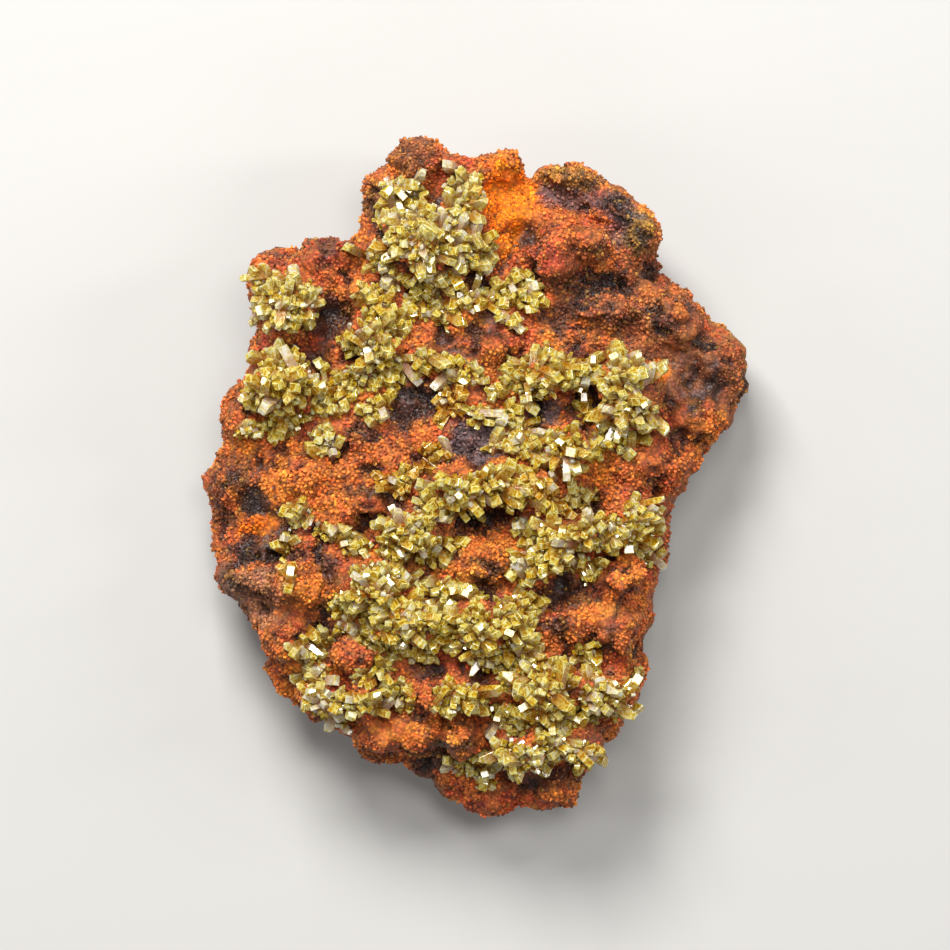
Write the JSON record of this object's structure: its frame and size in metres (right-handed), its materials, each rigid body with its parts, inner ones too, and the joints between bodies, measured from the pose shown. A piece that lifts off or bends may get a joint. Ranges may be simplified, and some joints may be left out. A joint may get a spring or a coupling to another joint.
{
  "type": "mineral specimen",
  "caption": "Loose piece of rusty limonite rock with groups of yellow-green adamite crystals on its upper face; it lies on a flat broken back.",
  "frame": {"origin": "middle of the footprint box, on the flat broken back that the rock rests on", "axes": "+Z out of the crystal face, +Y along the rock's length towards its knobbed upper end, +X across it towards its pointed right corner"},
  "size_m": [0.073, 0.0898, 0.0279],
  "materials": {
    "limonite": "rough, granular and dull, in rust, orange, brown and near-black zones",
    "adamite": "clear yellow-green crystal with flat, glossy faces"
  },
  "bodies": {
    "root": {"amber_crescent": "adamite", "amber_plate_crystal": "adamite", "amber_spray": "adamite", "centre_druse": "adamite", "centre_ledge_druse": "adamite", "centre_right_druse": "adamite", "column_druse": "adamite", "column_side_crystals": "adamite", "cross_blades": "adamite", "dark_gold_blade": "adamite", "east_sprig": "adamite", "foot_druse": "adamite", "foot_druse_west": "adamite", "foot_fan_crystals": "adamite", "foot_hanging_prism": "adamite", "gold_plate_crystal": "adamite", "inner_left_druse": "adamite", "left_druse": "adamite", "left_knob_druse": "adamite", "left_lower_crystals": "adamite", "left_rim_prism": "adamite", "left_sprig": "adamite", "limonite_matrix": "limonite", "lower_centre_druse": "adamite", "lower_left_druse": "adamite", "mid_left_druse": "adamite", "north_spray_east": "adamite", "north_spray_west": "adamite", "north_sprig_east": "adamite", "north_sprig_west": "adamite", "pale_needle": "adamite", "pale_prism_row": "adamite", "pale_slab_crystals": "adamite", "right_band_druse": "adamite", "right_druse": "adamite", "right_rim_crystals": "adamite", "right_tail_crystals": "adamite", "rim_block_crystal": "adamite", "slanted_blade": "adamite", "small_wedge_crystals": "adamite", "south_druse_east": "adamite", "south_druse_west": "adamite", "south_knot_lower": "adamite", "south_knot_upper": "adamite", "south_sprig": "adamite", "southwest_druse": "adamite", "southwest_foot_crystals": "adamite", "summit_block_crystals": "adamite", "under_band_crystals": "adamite", "under_band_druse": "adamite", "upper_druse": "adamite", "upper_long_prism": "adamite", "upright_blade": "adamite", "west_row": "adamite", "west_specks": "adamite", "yellow_chain": "adamite"}
  },
  "joints": []
}
